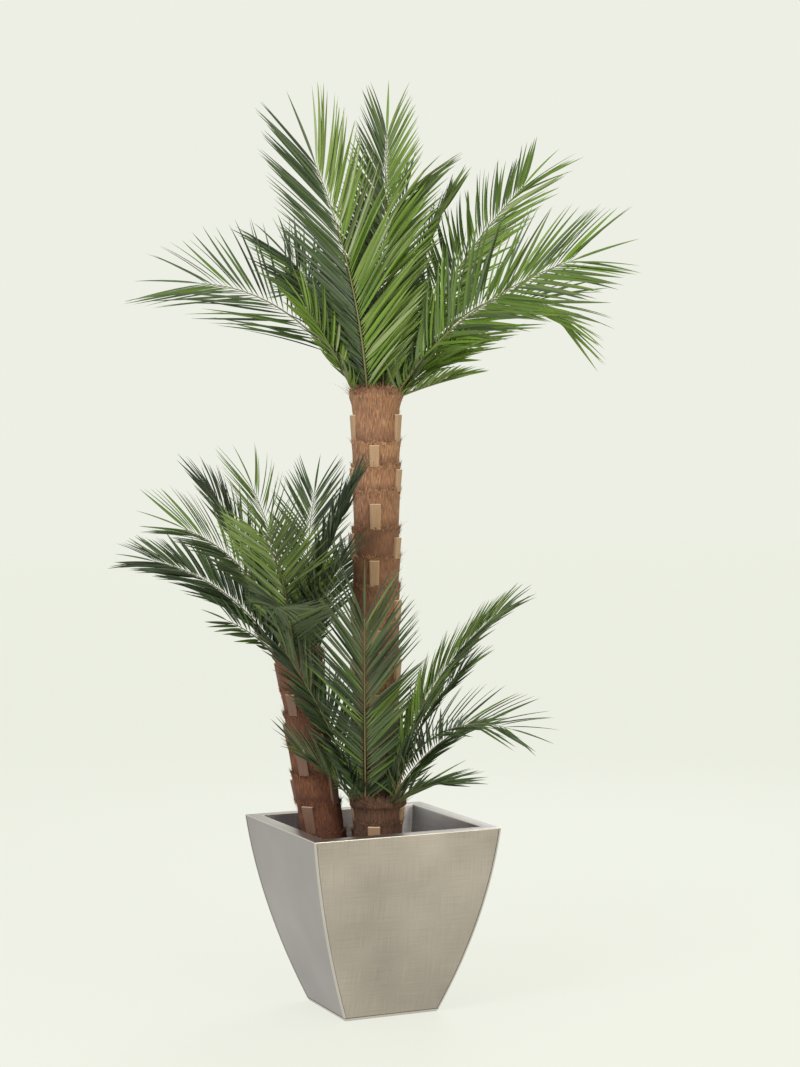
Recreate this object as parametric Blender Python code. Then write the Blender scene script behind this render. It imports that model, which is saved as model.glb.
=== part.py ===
"""A pygmy date palm as a planted group: three fibre-wrapped stems of stepped height in one tapered
square steel planter, each with a crown of feather fronds. Metres, +Z up. The origin is the centre of
the planter's underside. X and Y run along the planter's sides, and -Y is its front."""

import math
from typing import NamedTuple

import bmesh
import bpy
import numpy as np
from mathutils.bvhtree import BVHTree

# Meshes that rest on each other keep this gap.
GAP = 0.0003

# Planter: square, with sides that swell outwards a little between foot and rim.
PLANTER_HEIGHT = 0.474
PLANTER_RIM_SIDE = 0.500
PLANTER_FOOT_SIDE = 0.252
PLANTER_SWELL = 0.018
PLANTER_WALL = 0.038
PLANTER_FLOOR = 0.030
PLANTER_STEPS = 8

# The filling of bark and soil lies well under the rim.
FILL_TOP = 0.364

# Stems: each has a foot and a tip on its axis, and is wrapped in rings that flare towards their tops.
RING_PITCH = 0.077
RING_WAIST = 0.94
COLLAR_FLARE = 1.09
FOOT_FLARE = 1.12
STEM_SIDES = 16
STUB_PROUD = 0.006
STUB_TAPER = 0.86


class Stem(NamedTuple):
    """Foot and tip of the axis in X and Y, height of the tip, radius of a ring's top, stubs' heading."""

    foot: tuple
    tip: tuple
    top: float
    radius: float
    stub_heading: float


STEMS = {
    "tall": Stem((0.040, 0.061), (0.052, 0.056), 1.555, 0.0615, 331),
    "medium": Stem((-0.102, 0.044), (-0.165, 0.071), 0.894, 0.0575, 311),
    "short": Stem((-0.009, -0.072), (-0.009, -0.072), 0.527, 0.0620, 317),
}

# Fronds: a three-sided rib with leaflets on both sides of all but its bare foot.
BARE_FOOT = 0.04
RIB_WIDTH_FOOT = 0.013
RIB_WIDTH_TIP = 0.0035
RIB_TAPER = 0.7
RIB_DEPTH = 0.75
RIB_FINE_STEPS = 8
TWIST_BUILD = 6
# Leaflets: one on each side at every pitch, and one that runs on from the rib's end.
LEAFLET_PITCH = 0.020
LEAFLET_ANGLE_FOOT = 52
LEAFLET_ANGLE_TIP = 22
LEAFLET_ANGLE_BEND = 1.8
LEAFLET_LIFT_FOOT = 24
LEAFLET_LIFT_TIP = 10
LEAFLET_SAG = 0.06
END_LEAFLET = 0.7
# The shares of its length that a leaflet lacks at the foot and at the end of the frond, and how fast
# each share dies away from there, as a power.
FOOT_LACK = 0.45
FOOT_LACK_POWER = 5
TIP_LACK = 0.2
TIP_LACK_POWER = 3
# No two leaflets are alike: their angles and length stray by up to this much, by a seeded rule.
ANGLE_STRAY = 2.5
LIFT_STRAY = 7
LENGTH_STRAY = 0.07
# A leaflet that would cut a neighbour is tried again at these parts of its length, then left out.
# It keeps this clearance to other fronds, and from this part of its length on it has parted from the
# next leaflet on its side.
LEAFLET_TRIES = (1.0, 0.82, 0.66, 0.5, 0.36)
CLEARANCE = 0.001
PARTED = 0.03


class Frond(NamedTuple):
    """One frond, in degrees and metres. The rib sets out at the heading and the rise, and its pitch
    falls by the droop as the part of its length already run, raised to the power of the bend. It
    turns by the sweep sideways, and its face rolls by the twist about the rib. It is seated on the
    stem's top at the seat's radius, in its own heading unless another is given."""

    heading: float
    rise: float
    droop: float
    length: float
    leaflet: float
    seat: float
    twist: float = 0
    bend: float = 1.2
    sweep: float = 0
    seat_heading: float = None


FRONDS = {
    "tall": (
        Frond(199, 86, 24, 0.61, 0.275, 0.030, twist=36, bend=1.0),
        Frond(137, 61, 57, 0.56, 0.28, 0.050, twist=-50),
        Frond(177, 65, 12, 0.26, 0.16, 0.056, twist=-50),
        Frond(42, 89, 5, 0.68, 0.20, 0.018, twist=30, seat_heading=337),
        Frond(72, 84, 44, 0.60, 0.24, 0.022, twist=15, bend=2.2, sweep=-50),
        Frond(20, 74, 20, 0.58, 0.17, 0.034, twist=-25, seat_heading=38),
        Frond(5, 63, 20, 0.70, 0.22, 0.040, twist=30),
        Frond(309, 57, 43, 0.60, 0.26, 0.058, twist=70, bend=0.8),
        Frond(359, 54, 89, 0.57, 0.26, 0.056, twist=60, bend=2.2),
        Frond(119, 70, 30, 0.46, 0.22, 0.042, twist=-20),
        Frond(327, 20, 8, 0.16, 0.12, 0.058),
        Frond(87, 62, 62, 0.58, 0.24, 0.048),
        Frond(58, 48, 58, 0.52, 0.23, 0.056),
        Frond(337, 45, 17, 0.23, 0.13, 0.058, twist=45, seat_heading=343),
    ),
    "medium": (
        Frond(127, 71, 20, 0.47, 0.19, 0.030, twist=2),
        Frond(177, 78, 57, 0.44, 0.19, 0.036, twist=-45),
        Frond(142, 57, 47, 0.43, 0.16, 0.046, twist=-42),
        Frond(178, 46, 22, 0.17, 0.11, 0.050, twist=-50),
        Frond(112, 82, 26, 0.46, 0.20, 0.022, seat_heading=88),
        Frond(233, 71, 45, 0.42, 0.21, 0.020),
        Frond(55, 79, 24, 0.45, 0.18, 0.030),
        Frond(289, 80, 30, 0.46, 0.17, 0.032, twist=45),
        Frond(295, 84, 50, 0.27, 0.15, 0.046, twist=30, bend=1.6),
        Frond(241, 52, 60, 0.36, 0.17, 0.046, twist=-20),
        Frond(77, 56, 60, 0.42, 0.18, 0.046),
        Frond(37, 66, 45, 0.38, 0.17, 0.046),
    ),
    "short": (
        Frond(250, 89, 16, 0.48, 0.23, 0.044, seat_heading=202),
        Frond(317, 77, 40, 0.58, 0.125, 0.030, twist=65),
        Frond(312, 87, 103, 0.43, 0.17, 0.046, twist=34, bend=0.9),
        Frond(287, 31, 24, 0.23, 0.15, 0.050),
        Frond(180, 70, 15, 0.44, 0.17, 0.044, twist=-50, seat_heading=148),
        Frond(189, 46, 8, 0.22, 0.15, 0.054, twist=-30, seat_heading=178),
        Frond(357, 72, 32, 0.40, 0.13, 0.030),
        Frond(23, 46, 40, 0.36, 0.15, 0.046),
    ),
}

# Colours as sRGB hex, with roughness and metallic value.
FINISHES = {
    "planter": ("#a79e8d", 0.38, 1.0),
    "fill": ("#4a3a2c", 0.95, 0.0),
    "stem_tall": ("#986f50", 0.95, 0.0),
    "stem_medium": ("#6a4f3d", 0.95, 0.0),
    "stem_short": ("#6e4d3c", 0.95, 0.0),
    "frond_tall": ("#5f7a3c", 0.55, 0.0),
    "frond_medium": ("#4c6a34", 0.55, 0.0),
    "frond_short": ("#4a6a38", 0.55, 0.0),
}


def clear_scene():
    for existing in list(bpy.data.objects):
        bpy.data.objects.remove(existing, do_unlink=True)


def linear(code):
    """An sRGB hex colour as linear red, green, blue and alpha."""
    parts = [int(code[i : i + 2], 16) / 255 for i in (1, 3, 5)]
    return [c / 12.92 if c <= 0.04045 else ((c + 0.055) / 1.055) ** 2.4 for c in parts] + [1.0]


def make_material(name):
    colour, roughness, metallic = FINISHES[name]
    material = bpy.data.materials.new(name)
    material.use_nodes = True
    shader = material.node_tree.nodes["Principled BSDF"]
    shader.inputs["Base Color"].default_value = linear(colour)
    shader.inputs["Roughness"].default_value = roughness
    shader.inputs["Metallic"].default_value = metallic
    return material


def add_object(name, points, faces, material):
    mesh = bpy.data.meshes.new(name)
    mesh.from_pydata([tuple(point) for point in points], [], faces)
    mesh.materials.append(material)
    made = bpy.data.objects.new(name, mesh)
    bpy.context.scene.collection.objects.link(made)
    return made


def square_ring(half, height):
    """The four corners of a level square, anticlockwise from above."""
    return [(-half, -half, height), (half, -half, height), (half, half, height), (-half, half, height)]


def bridge(first, second, count):
    """Quads between two rings of points that follow each other, facing out where the rings climb."""
    return [
        (first + i, first + (i + 1) % count, second + (i + 1) % count, second + i)
        for i in range(count)
    ]


def planter_half(height):
    """Half the planter's outer side at a height: a straight slope plus a shallow circular swell."""
    foot = PLANTER_FOOT_SIDE / 2
    rim = PLANTER_RIM_SIDE / 2
    part = height / PLANTER_HEIGHT
    chord = math.hypot(PLANTER_HEIGHT, rim - foot)
    radius = (chord**2 / 4 + PLANTER_SWELL**2) / (2 * PLANTER_SWELL)
    along = (part - 0.5) * chord
    swell = math.sqrt(radius**2 - along**2) - (radius - PLANTER_SWELL)
    return foot + (rim - foot) * part + swell * PLANTER_HEIGHT / chord


def planter_levels(bottom, top, inset):
    """Square rings from the bottom to the top level, each set in from the planter's outer side."""
    rings = []
    for height in np.linspace(bottom, top, PLANTER_STEPS + 1):
        rings += square_ring(planter_half(height) - inset, height)
    return rings


def make_planter():
    """The outer wall climbs, folds over the flat rim, and the inner wall runs down to the floor."""
    outer = planter_levels(0, PLANTER_HEIGHT, 0)
    inner = planter_levels(PLANTER_FLOOR, PLANTER_HEIGHT, PLANTER_WALL)
    inner_rings = [inner[4 * i : 4 * i + 4] for i in range(PLANTER_STEPS + 1)]
    points = outer + [point for ring in reversed(inner_rings) for point in ring]
    rings = 2 * (PLANTER_STEPS + 1)
    faces = [(3, 2, 1, 0)]
    for i in range(rings - 1):
        faces += bridge(4 * i, 4 * i + 4, 4)
    last = 4 * (rings - 1)
    faces.append((last, last + 1, last + 2, last + 3))
    return add_object("planter", points, faces, make_material("planter"))


def make_fill():
    points = planter_levels(PLANTER_FLOOR + GAP, FILL_TOP, PLANTER_WALL + GAP)
    faces = [(3, 2, 1, 0)]
    for i in range(PLANTER_STEPS):
        faces += bridge(4 * i, 4 * i + 4, 4)
    last = 4 * PLANTER_STEPS
    faces.append((last, last + 1, last + 2, last + 3))
    return add_object("fill", points, faces, make_material("fill"))


def stem_axis(stem, height):
    part = (height - FILL_TOP) / (stem.top - FILL_TOP)
    return [a + (b - a) * part for a, b in zip(stem.foot, stem.tip)]


def stem_ring(stem, height, radius):
    x, y = stem_axis(stem, height)
    turn = math.radians(stem.stub_heading) + math.pi / STEM_SIDES
    ring = []
    for i in range(STEM_SIDES):
        angle = turn + 2 * math.pi * i / STEM_SIDES
        ring.append((x + radius * math.cos(angle), y + radius * math.sin(angle), height))
    return ring


def make_stem(name, stem):
    """Rings stacked from the tip down, each narrow at its foot and wide at its top, with a flat step
    to the next. The foot flares where the stem meets the filling, and the topmost ring is a collar.
    Two cut frond stubs stand on each ring, a quarter turn on from those of the ring below."""
    foot = FILL_TOP + GAP
    count = round((stem.top - foot) / RING_PITCH)
    pitch = (stem.top - foot) / count
    points = []
    for i in range(count):
        low = stem.radius * (FOOT_FLARE if i == 0 else RING_WAIST)
        high = stem.radius * (COLLAR_FLARE if i == count - 1 else 1.0)
        points += stem_ring(stem, foot + pitch * i, low)
        points += stem_ring(stem, foot + pitch * (i + 1), high)
    faces = [tuple(reversed(range(STEM_SIDES)))]
    stubs = []
    for i in range(2 * count - 1):
        sides = bridge(STEM_SIDES * i, STEM_SIDES * (i + 1), STEM_SIDES)
        ring = i // 2
        if i % 2 == 0 and 0 < ring < count - 1:
            quarter = STEM_SIDES // 4 * (ring % 2)
            stubs += [sides[(quarter - 1 + turn) % STEM_SIDES] for turn in (0, STEM_SIDES // 2)]
        faces += sides
    last = STEM_SIDES * (2 * count - 1)
    faces.append(tuple(range(last, last + STEM_SIDES)))
    made = add_object("stem_" + name, points, faces, make_material("stem_" + name))
    raise_stubs(made.data, stubs)
    return made


def raise_stubs(mesh, stubs):
    """Draws each listed side face outwards, a little smaller, as the cut foot of an old frond."""
    shape = bmesh.new()
    shape.from_mesh(mesh)
    wanted = {frozenset(stub) for stub in stubs}
    chosen = [face for face in shape.faces if frozenset(v.index for v in face.verts) in wanted]
    made = bmesh.ops.extrude_discrete_faces(shape, faces=chosen)
    for face in made["faces"]:
        centre = face.calc_center_median()
        outwards = face.normal.copy()
        outwards.z = 0
        for vert in face.verts:
            vert.co = centre + (vert.co - centre) * STUB_TAPER + outwards.normalized() * STUB_PROUD
    shape.to_mesh(mesh)
    shape.free()


def unit(rows):
    """Each row of three numbers at length one."""
    return rows / np.linalg.norm(rows, axis=1, keepdims=True)


def rib_frames(stem, frond, count):
    """Points along the rib with its forward, left and upward directions at each, count of them after
    the seat. The path is the sum of many short steps at the pitch and heading of the rule."""
    part = np.linspace(0, 1, count * RIB_FINE_STEPS + 1)
    pitch = np.radians(frond.rise - frond.droop * part**frond.bend)
    heading = np.radians(frond.heading + frond.sweep * part)
    level = np.cos(pitch)
    forward = np.stack([level * np.cos(heading), level * np.sin(heading), np.sin(pitch)], axis=1)
    steps = (forward[1:] + forward[:-1]) / 2 * frond.length / (count * RIB_FINE_STEPS)
    seat = math.radians(frond.heading if frond.seat_heading is None else frond.seat_heading)
    start = np.array(
        [
            stem.tip[0] + frond.seat * math.cos(seat),
            stem.tip[1] + frond.seat * math.sin(seat),
            stem.top + GAP,
        ]
    )
    points = start + np.concatenate([np.zeros((1, 3)), np.cumsum(steps, axis=0)])
    left = np.stack([-np.sin(heading), np.cos(heading), np.zeros_like(heading)], axis=1)
    upward = np.cross(forward, left)
    roll = np.radians(frond.twist) * (1 - (1 - part) ** TWIST_BUILD)
    cosine, sine = np.cos(roll)[:, None], np.sin(roll)[:, None]
    turned_left = cosine * left + sine * upward
    turned_up = cosine * upward - sine * left
    return [rows[::RIB_FINE_STEPS] for rows in (part, points, forward, turned_left, turned_up)]


def rib_mesh(stem, frond):
    """The rib's rings of three points (left, right, under), its first ring level on the stem's top."""
    count = round(frond.length / LEAFLET_PITCH)
    part, points, forward, left, upward = rib_frames(stem, frond, count)
    width = (RIB_WIDTH_FOOT + (RIB_WIDTH_TIP - RIB_WIDTH_FOOT) * part**RIB_TAPER)[:, None]
    depth = width * RIB_DEPTH
    rings = np.stack(
        [
            points + left * width / 2 + upward * depth / 3,
            points - left * width / 2 + upward * depth / 3,
            points - upward * depth * 2 / 3,
        ],
        axis=1,
    )
    slide = (stem.top + GAP - rings[0, :, 2]) / forward[0, 2]
    rings[0] += slide[:, None] * forward[0]
    return part, points, forward, left, upward, rings


def leaflet_tips(frond, seed, part, points, forward, left, upward):
    """Where the leaflets that grow from each step of the rib would end, left ones then right ones.
    Their angle to the rib closes towards its tip, they stand up from its face in a shallow trough,
    and their length swells from the foot and falls off a little at the end."""
    random = np.random.default_rng(seed)
    grown = np.clip((part - BARE_FOOT) / (1 - BARE_FOOT), 0, 1)
    closing = grown**LEAFLET_ANGLE_BEND
    mean_angle = LEAFLET_ANGLE_FOOT + (LEAFLET_ANGLE_TIP - LEAFLET_ANGLE_FOOT) * closing
    mean_lift = LEAFLET_LIFT_FOOT + (LEAFLET_LIFT_TIP - LEAFLET_LIFT_FOOT) * grown
    lack = FOOT_LACK * (1 - grown) ** FOOT_LACK_POWER + TIP_LACK * grown**TIP_LACK_POWER
    mean_length = frond.leaflet * (1 - lack)
    tips = []
    for side in (1, -1):
        stray = random.uniform(-1, 1, (3, len(part)))
        angle = np.radians(mean_angle + ANGLE_STRAY * stray[0])[:, None]
        lift = np.radians(mean_lift + LIFT_STRAY * stray[1])[:, None]
        length = (mean_length * (1 + LENGTH_STRAY * stray[2]))[:, None]
        across = np.cos(lift) * side * left + np.sin(lift) * upward
        reach = unit(np.cos(angle) * forward + np.sin(angle) * across)
        reach[:, 2] -= LEAFLET_SAG
        tips.append(points + reach * length)
    return tips, grown


def spike(corners, tip):
    """The four corners of a leaflet's root and its tip, with the four faces between them."""
    points = [tuple(corner) for corner in corners] + [tuple(tip)]
    return points, [(0, 1, 4), (1, 2, 4), (2, 3, 4), (3, 0, 4)]


def crosses(root, tip, obstacles):
    return bool(BVHTree.FromPolygons(*spike(root, tip)).overlap(obstacles))


def fits(root, tip, obstacles):
    """Whether a slightly fattened leaflet is clear of everything that stands already."""
    centre = root.mean(axis=0)
    along = (tip - centre) / np.linalg.norm(tip - centre)
    spread = root - centre
    fat = centre + spread * (1 + CLEARANCE / np.linalg.norm(spread, axis=1, keepdims=True))
    return not crosses(fat, tip + along * CLEARANCE, obstacles)


def polygons_of(made):
    points = [tuple(made.matrix_world @ vert.co) for vert in made.data.vertices]
    return points, [tuple(face.vertices) for face in made.data.polygons]


def joined_tree(shapes):
    """One search tree over a list of (points, faces)."""
    points, faces = [], []
    for some_points, some_faces in shapes:
        start = len(points)
        points += some_points
        faces += [tuple(start + i for i in face) for face in some_faces]
    return BVHTree.FromPolygons(points, faces)


def rib_shape(rings):
    """The bare rib as points and faces, without leaflets."""
    points = [tuple(point) for point in rings.reshape(-1, 3)]
    faces = []
    for i in range(len(rings) - 1):
        for a, b in ((0, 1), (1, 2), (2, 0)):
            faces.append((3 * i + a, 3 * i + b, 3 * i + 3 + b, 3 * i + 3 + a))
    return points, faces


def outer_part(root, tip):
    """A leaflet's root moved a little way out along it, where it has parted from its neighbours."""
    return root + (tip - root) * PARTED


def longest_fit(root, full, obstacles, neighbour=None):
    """The leaflet's tip at the first of the tried lengths that is clear of all obstacles, and past
    its root also of its neighbour on the same side of the rib. None if there is no such length."""
    centre = root.mean(axis=0)
    for trial in LEAFLET_TRIES:
        tip = centre + (full - centre) * trial
        clear = all(fits(root, tip, tree) for tree in obstacles)
        if clear and not (neighbour and crosses(outer_part(root, tip), tip, neighbour)):
            return tip
    return None


def make_frond(name, frond, seed, rib, others, material):
    """The rib with each leaflet drawn out of one side face of it, so that all is one closed skin."""
    part, points, forward, left, upward, rings = rib
    tips, grown = leaflet_tips(frond, seed, part, points, forward, left, upward)
    steps = len(rings) - 1
    skin = [tuple(point) for point in rings.reshape(-1, 3)]
    faces = [(2, 1, 0)]
    leaflets = []
    neighbours = [None, None]
    for i in range(steps):
        here, there = 3 * i, 3 * i + 3
        faces.append((here, here + 1, there + 1, there))
        # A leaflet also keeps clear of its own frond, apart from the steps next to it.
        earlier = [leaflet for step, leaflet in leaflets if step < i - 1]
        own = [rib_shape(rings[i + 3 :])] if i + 4 < steps else []
        obstacles = [others] + ([joined_tree(earlier + own)] if earlier + own else [])
        # On the left it springs from the side between left and under, on the right likewise.
        for side, (a, b) in enumerate(((2, 0), (1, 2))):
            corners = (here + a, here + b, there + b, there + a)
            root = rings.reshape(-1, 3)[list(corners)]
            full = (tips[side][i] + tips[side][i + 1]) / 2
            tip = longest_fit(root, full, obstacles, neighbours[side]) if grown[i] > 0 else None
            neighbours[side] = None
            if tip is None:
                faces.append(corners)
                continue
            skin.append(tuple(tip))
            faces += [(corners[k], corners[(k + 1) % 4], len(skin) - 1) for k in range(4)]
            leaflets.append((i, spike(root, tip)))
            neighbours[side] = joined_tree([spike(outer_part(root, tip), tip)])
    end_ring = rings[-1][[0, 1, 2, 2]]
    full = points[-1] + forward[-1] * frond.leaflet * END_LEAFLET
    tip = longest_fit(end_ring, full, [others])
    if tip is None:
        tip = points[-1] + forward[-1] * LEAFLET_PITCH / 2
    skin.append(tuple(tip))
    end = 3 * steps
    faces += [(end + a, end + b, len(skin) - 1) for a, b in ((0, 1), (1, 2), (2, 0))]
    add_object(name, skin, faces, material)
    return [leaflet for _, leaflet in leaflets] + [spike(end_ring, tip)]


def main():
    clear_scene()
    standing = [polygons_of(make_planter()), polygons_of(make_fill())]
    for name, stem in STEMS.items():
        standing.append(polygons_of(make_stem(name, stem)))
    plan = [
        (f"frond_{crown}_{i + 1:02d}", crown, frond, rib_mesh(STEMS[crown], frond))
        for crown, fronds in FRONDS.items()
        for i, frond in enumerate(fronds)
    ]
    ribs = [rib_shape(rib[-1]) for _, _, _, rib in plan]
    materials = {crown: make_material("frond_" + crown) for crown in FRONDS}
    for i, (name, crown, frond, rib) in enumerate(plan):
        others = joined_tree(standing + ribs[:i] + ribs[i + 1 :])
        standing += make_frond(name, frond, i, rib, others, materials[crown])


main()
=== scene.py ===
"""The looks of a pygmy date palm group: three fibre-wrapped stems with feather fronds in one tapered
steel planter. Metres, +Z up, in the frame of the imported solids."""

import math
from typing import NamedTuple

import bpy
import numpy as np
from mathutils import Matrix, Vector


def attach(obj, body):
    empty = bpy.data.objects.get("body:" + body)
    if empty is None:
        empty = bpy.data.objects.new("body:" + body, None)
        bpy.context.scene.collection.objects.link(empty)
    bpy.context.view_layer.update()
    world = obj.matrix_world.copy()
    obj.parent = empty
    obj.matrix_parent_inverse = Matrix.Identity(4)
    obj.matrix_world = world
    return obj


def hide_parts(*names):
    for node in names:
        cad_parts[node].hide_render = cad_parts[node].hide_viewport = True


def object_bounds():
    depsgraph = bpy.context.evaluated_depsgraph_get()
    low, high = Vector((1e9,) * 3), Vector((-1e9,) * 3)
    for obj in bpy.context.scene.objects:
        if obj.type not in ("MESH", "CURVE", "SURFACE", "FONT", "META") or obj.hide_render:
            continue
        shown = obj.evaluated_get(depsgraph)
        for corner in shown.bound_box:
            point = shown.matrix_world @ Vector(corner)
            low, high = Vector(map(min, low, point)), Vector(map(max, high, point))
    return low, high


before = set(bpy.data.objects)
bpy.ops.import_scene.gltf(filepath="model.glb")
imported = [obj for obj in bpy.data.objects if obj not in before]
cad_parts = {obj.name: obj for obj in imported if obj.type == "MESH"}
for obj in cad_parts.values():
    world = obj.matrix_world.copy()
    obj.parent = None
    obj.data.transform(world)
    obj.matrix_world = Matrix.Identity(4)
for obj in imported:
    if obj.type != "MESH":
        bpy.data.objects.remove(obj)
cad_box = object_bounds()


# Camera, floor and light: a long lens on a tall stand, a little left of the planter's front, in a pale
# studio. Broad lights from the upper left and from the front leave only soft shade.
CAMERA_PLACE = (-2.19437, -5.28103, 1.37021)
CAMERA_AZIMUTH = -23.396
CAMERA_ELEVATION = 1.646
CAMERA_ROLL = -0.583
CAMERA_LENS = 75.98
STUDIO_PALE = "#edefe4"
FLOOR_REACH = 30.0
FLOOR_GLOW = 0.81
LIGHTS = {
    "key": ((-3.4, -2.2, 3.4), 2.2, 130, "#f6f0ff"),
    "front": ((1.0, -4.6, 2.2), 2.6, 90, "#fff1e0"),
    "rim": ((2.6, 2.8, 3.0), 2.0, 50, "#f4f8ff"),
}
LIGHTS_LOOK_AT = (0.0, 0.0, 1.2)


def linear(code):
    """An sRGB hex colour as linear red, green, blue and alpha: a straight part under 0.04045 and a
    power of 2.4 above it."""
    parts = [int(code[i : i + 2], 16) / 255 for i in (1, 3, 5)]
    return [c / 12.92 if c <= 0.04045 else ((c + 0.055) / 1.055) ** 2.4 for c in parts] + [1.0]


def add_node(tree, kind, inputs=(), **settings):
    """Adds one node. Settings are its own properties. Inputs are its sockets by name or number, each
    with a value, or with another node's output, which is linked."""
    node = tree.nodes.new(kind)
    for key, value in settings.items():
        setattr(node, key, value)
    for key, value in dict(inputs).items():
        if isinstance(value, bpy.types.NodeSocket):
            tree.links.new(value, node.inputs[key])
        else:
            node.inputs[key].default_value = value
    return node


def camera_matrix(place, azimuth, elevation, roll):
    """Back points from the object to the eye, right is level, and up is back crossed with right.
    Right and up are then turned about back by the roll."""
    turn, lift, lean = np.radians([azimuth, elevation, roll])
    back = np.array([np.sin(turn) * np.cos(lift), -np.cos(turn) * np.cos(lift), np.sin(lift)])
    right = np.array([np.cos(turn), np.sin(turn), 0.0])
    up = np.cross(back, right)
    matrix = np.eye(4)
    matrix[:3, 0] = np.cos(lean) * right + np.sin(lean) * up
    matrix[:3, 1] = np.cos(lean) * up - np.sin(lean) * right
    matrix[:3, 2] = back
    matrix[:3, 3] = place
    return Matrix(matrix.tolist())


def new_material(name, colour, roughness, metallic=0.0):
    """A material with one surface shader at constant values, and its tree and shader."""
    material = bpy.data.materials.new(name)
    material.use_nodes = True
    shader = material.node_tree.nodes["Principled BSDF"]
    shader.inputs["Base Color"].default_value = linear(colour)
    shader.inputs["Roughness"].default_value = roughness
    shader.inputs["Metallic"].default_value = metallic
    return material, material.node_tree, shader


scene = bpy.context.scene
camera_data = bpy.data.cameras.new("camera")
camera_data.lens = CAMERA_LENS
camera_data.sensor_width = 36.0
camera_data.clip_end = 100.0
camera = bpy.data.objects.new("camera", camera_data)
camera.matrix_world = camera_matrix(CAMERA_PLACE, CAMERA_AZIMUTH, CAMERA_ELEVATION, CAMERA_ROLL)
scene.collection.objects.link(camera)
scene.camera = camera
scene.view_settings.view_transform = "Standard"

for light_name, (place, size, power, colour) in LIGHTS.items():
    light_data = bpy.data.lights.new(light_name, "AREA")
    light_data.shape = "DISK"
    light_data.size = size
    light_data.energy = power
    light_data.color = linear(colour)[:3]
    light = bpy.data.objects.new(light_name, light_data)
    away = Vector(LIGHTS_LOOK_AT) - Vector(place)
    light.matrix_world = Matrix.Translation(place) @ away.to_track_quat("-Z", "Y").to_matrix().to_4x4()
    scene.collection.objects.link(light)

world = bpy.data.worlds.new("studio")
world.use_nodes = True
world.node_tree.nodes.clear()
sky = add_node(world.node_tree, "ShaderNodeBackground", {"Color": linear(STUDIO_PALE), "Strength": 1.0})
add_node(world.node_tree, "ShaderNodeOutputWorld", {"Surface": sky.outputs[0]})
scene.world = world

# Painted studio floor, which glows a little itself, so that it stays as pale as the wall behind it.
floor_mesh = bpy.data.meshes.new("floor")
floor_corners = [(x * FLOOR_REACH, y * FLOOR_REACH, 0) for x, y in ((-1, -1), (1, -1), (1, 1), (-1, 1))]
floor_mesh.from_pydata(floor_corners, [], [(0, 1, 2, 3)])
floor_paint, _, floor_shader = new_material("pale studio paint", "#5c5d59", 0.9)
floor_shader.inputs["Emission Color"].default_value = linear(STUDIO_PALE)
floor_shader.inputs["Emission Strength"].default_value = FLOOR_GLOW
floor_mesh.materials.append(floor_paint)
floor = bpy.data.objects.new("floor", floor_mesh)
scene.collection.objects.link(floor)


# Planter: stainless sheet folded into a tapered square box with a double wall. Its sides swell a
# little, and narrow folded strips close the four corners and the foot.
PLANTER_HEIGHT = 0.474
PLANTER_RIM_SIDE = 0.500
PLANTER_FOOT_SIDE = 0.252
PLANTER_SWELL = 0.018
PLANTER_WALL = 0.038
PLANTER_FLOOR = 0.030
FOLD_RADIUS = 0.0022
SEAM_WIDTH = 0.0030
SEAM_PROUD = 0.0009
GROOVE_WIDTH = 0.0014
GROOVE_DEPTH = 0.0024
GROOVE_SLOPE = 0.0002
# The foot's strip is this much higher than the corners' seams are wide. The sheet's rows end a little
# under the rim's folds, outside and inside.
FOOT_STRIP_EXTRA = 0.0040
RIM_STRIP = 0.0005
LINING_START = 0.004
FOLD_STEPS = 5
WALL_STEPS = 28
# From the seam outwards: its edge, the two corners of the groove's floor, and the sheet's edge, as
# distances along the side and depths behind the seam.
GROOVE_RUNS = np.array([0, GROOVE_SLOPE, GROOVE_WIDTH - GROOVE_SLOPE, GROOVE_WIDTH]) + SEAM_WIDTH
GROOVE_BACKS = np.array([0, GROOVE_DEPTH, GROOVE_DEPTH, SEAM_PROUD])
# Each side's pattern starts this far on from the last side's, so that no two look alike.
SIDE_APART = 0.7
BRUSH_STROKE = 0.09


def planter_half(height):
    """Half the planter's outer side at a height: a straight slope from foot to rim, plus the height
    of a shallow circular arc over the chord of the wall."""
    foot, rim = PLANTER_FOOT_SIDE / 2, PLANTER_RIM_SIDE / 2
    part = height / PLANTER_HEIGHT
    chord = math.hypot(PLANTER_HEIGHT, rim - foot)
    radius = (chord**2 / 4 + PLANTER_SWELL**2) / (2 * PLANTER_SWELL)
    arc = np.sqrt(radius**2 - ((part - 0.5) * chord) ** 2) - (radius - PLANTER_SWELL)
    return foot + (rim - foot) * part + arc * PLANTER_HEIGHT / chord


def grid_faces(rows, columns, closed=True):
    """Quads between the neighbours of a grid stored row by row, which face out where the rows climb
    and the columns run anticlockwise. Also each quad's corners as (column, row) for a UV map."""
    across = columns if closed else columns - 1
    row, column = np.mgrid[0 : rows - 1, 0:across].reshape(2, -1)
    steps = ((0, 0), (0, 1), (1, 1), (1, 0))
    faces = np.stack([(row + r) * columns + (column + c) % columns for r, c in steps], axis=1)
    cells = np.stack([np.stack([column + c, row + r], axis=1) for r, c in steps], axis=1)
    return faces, cells


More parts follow.
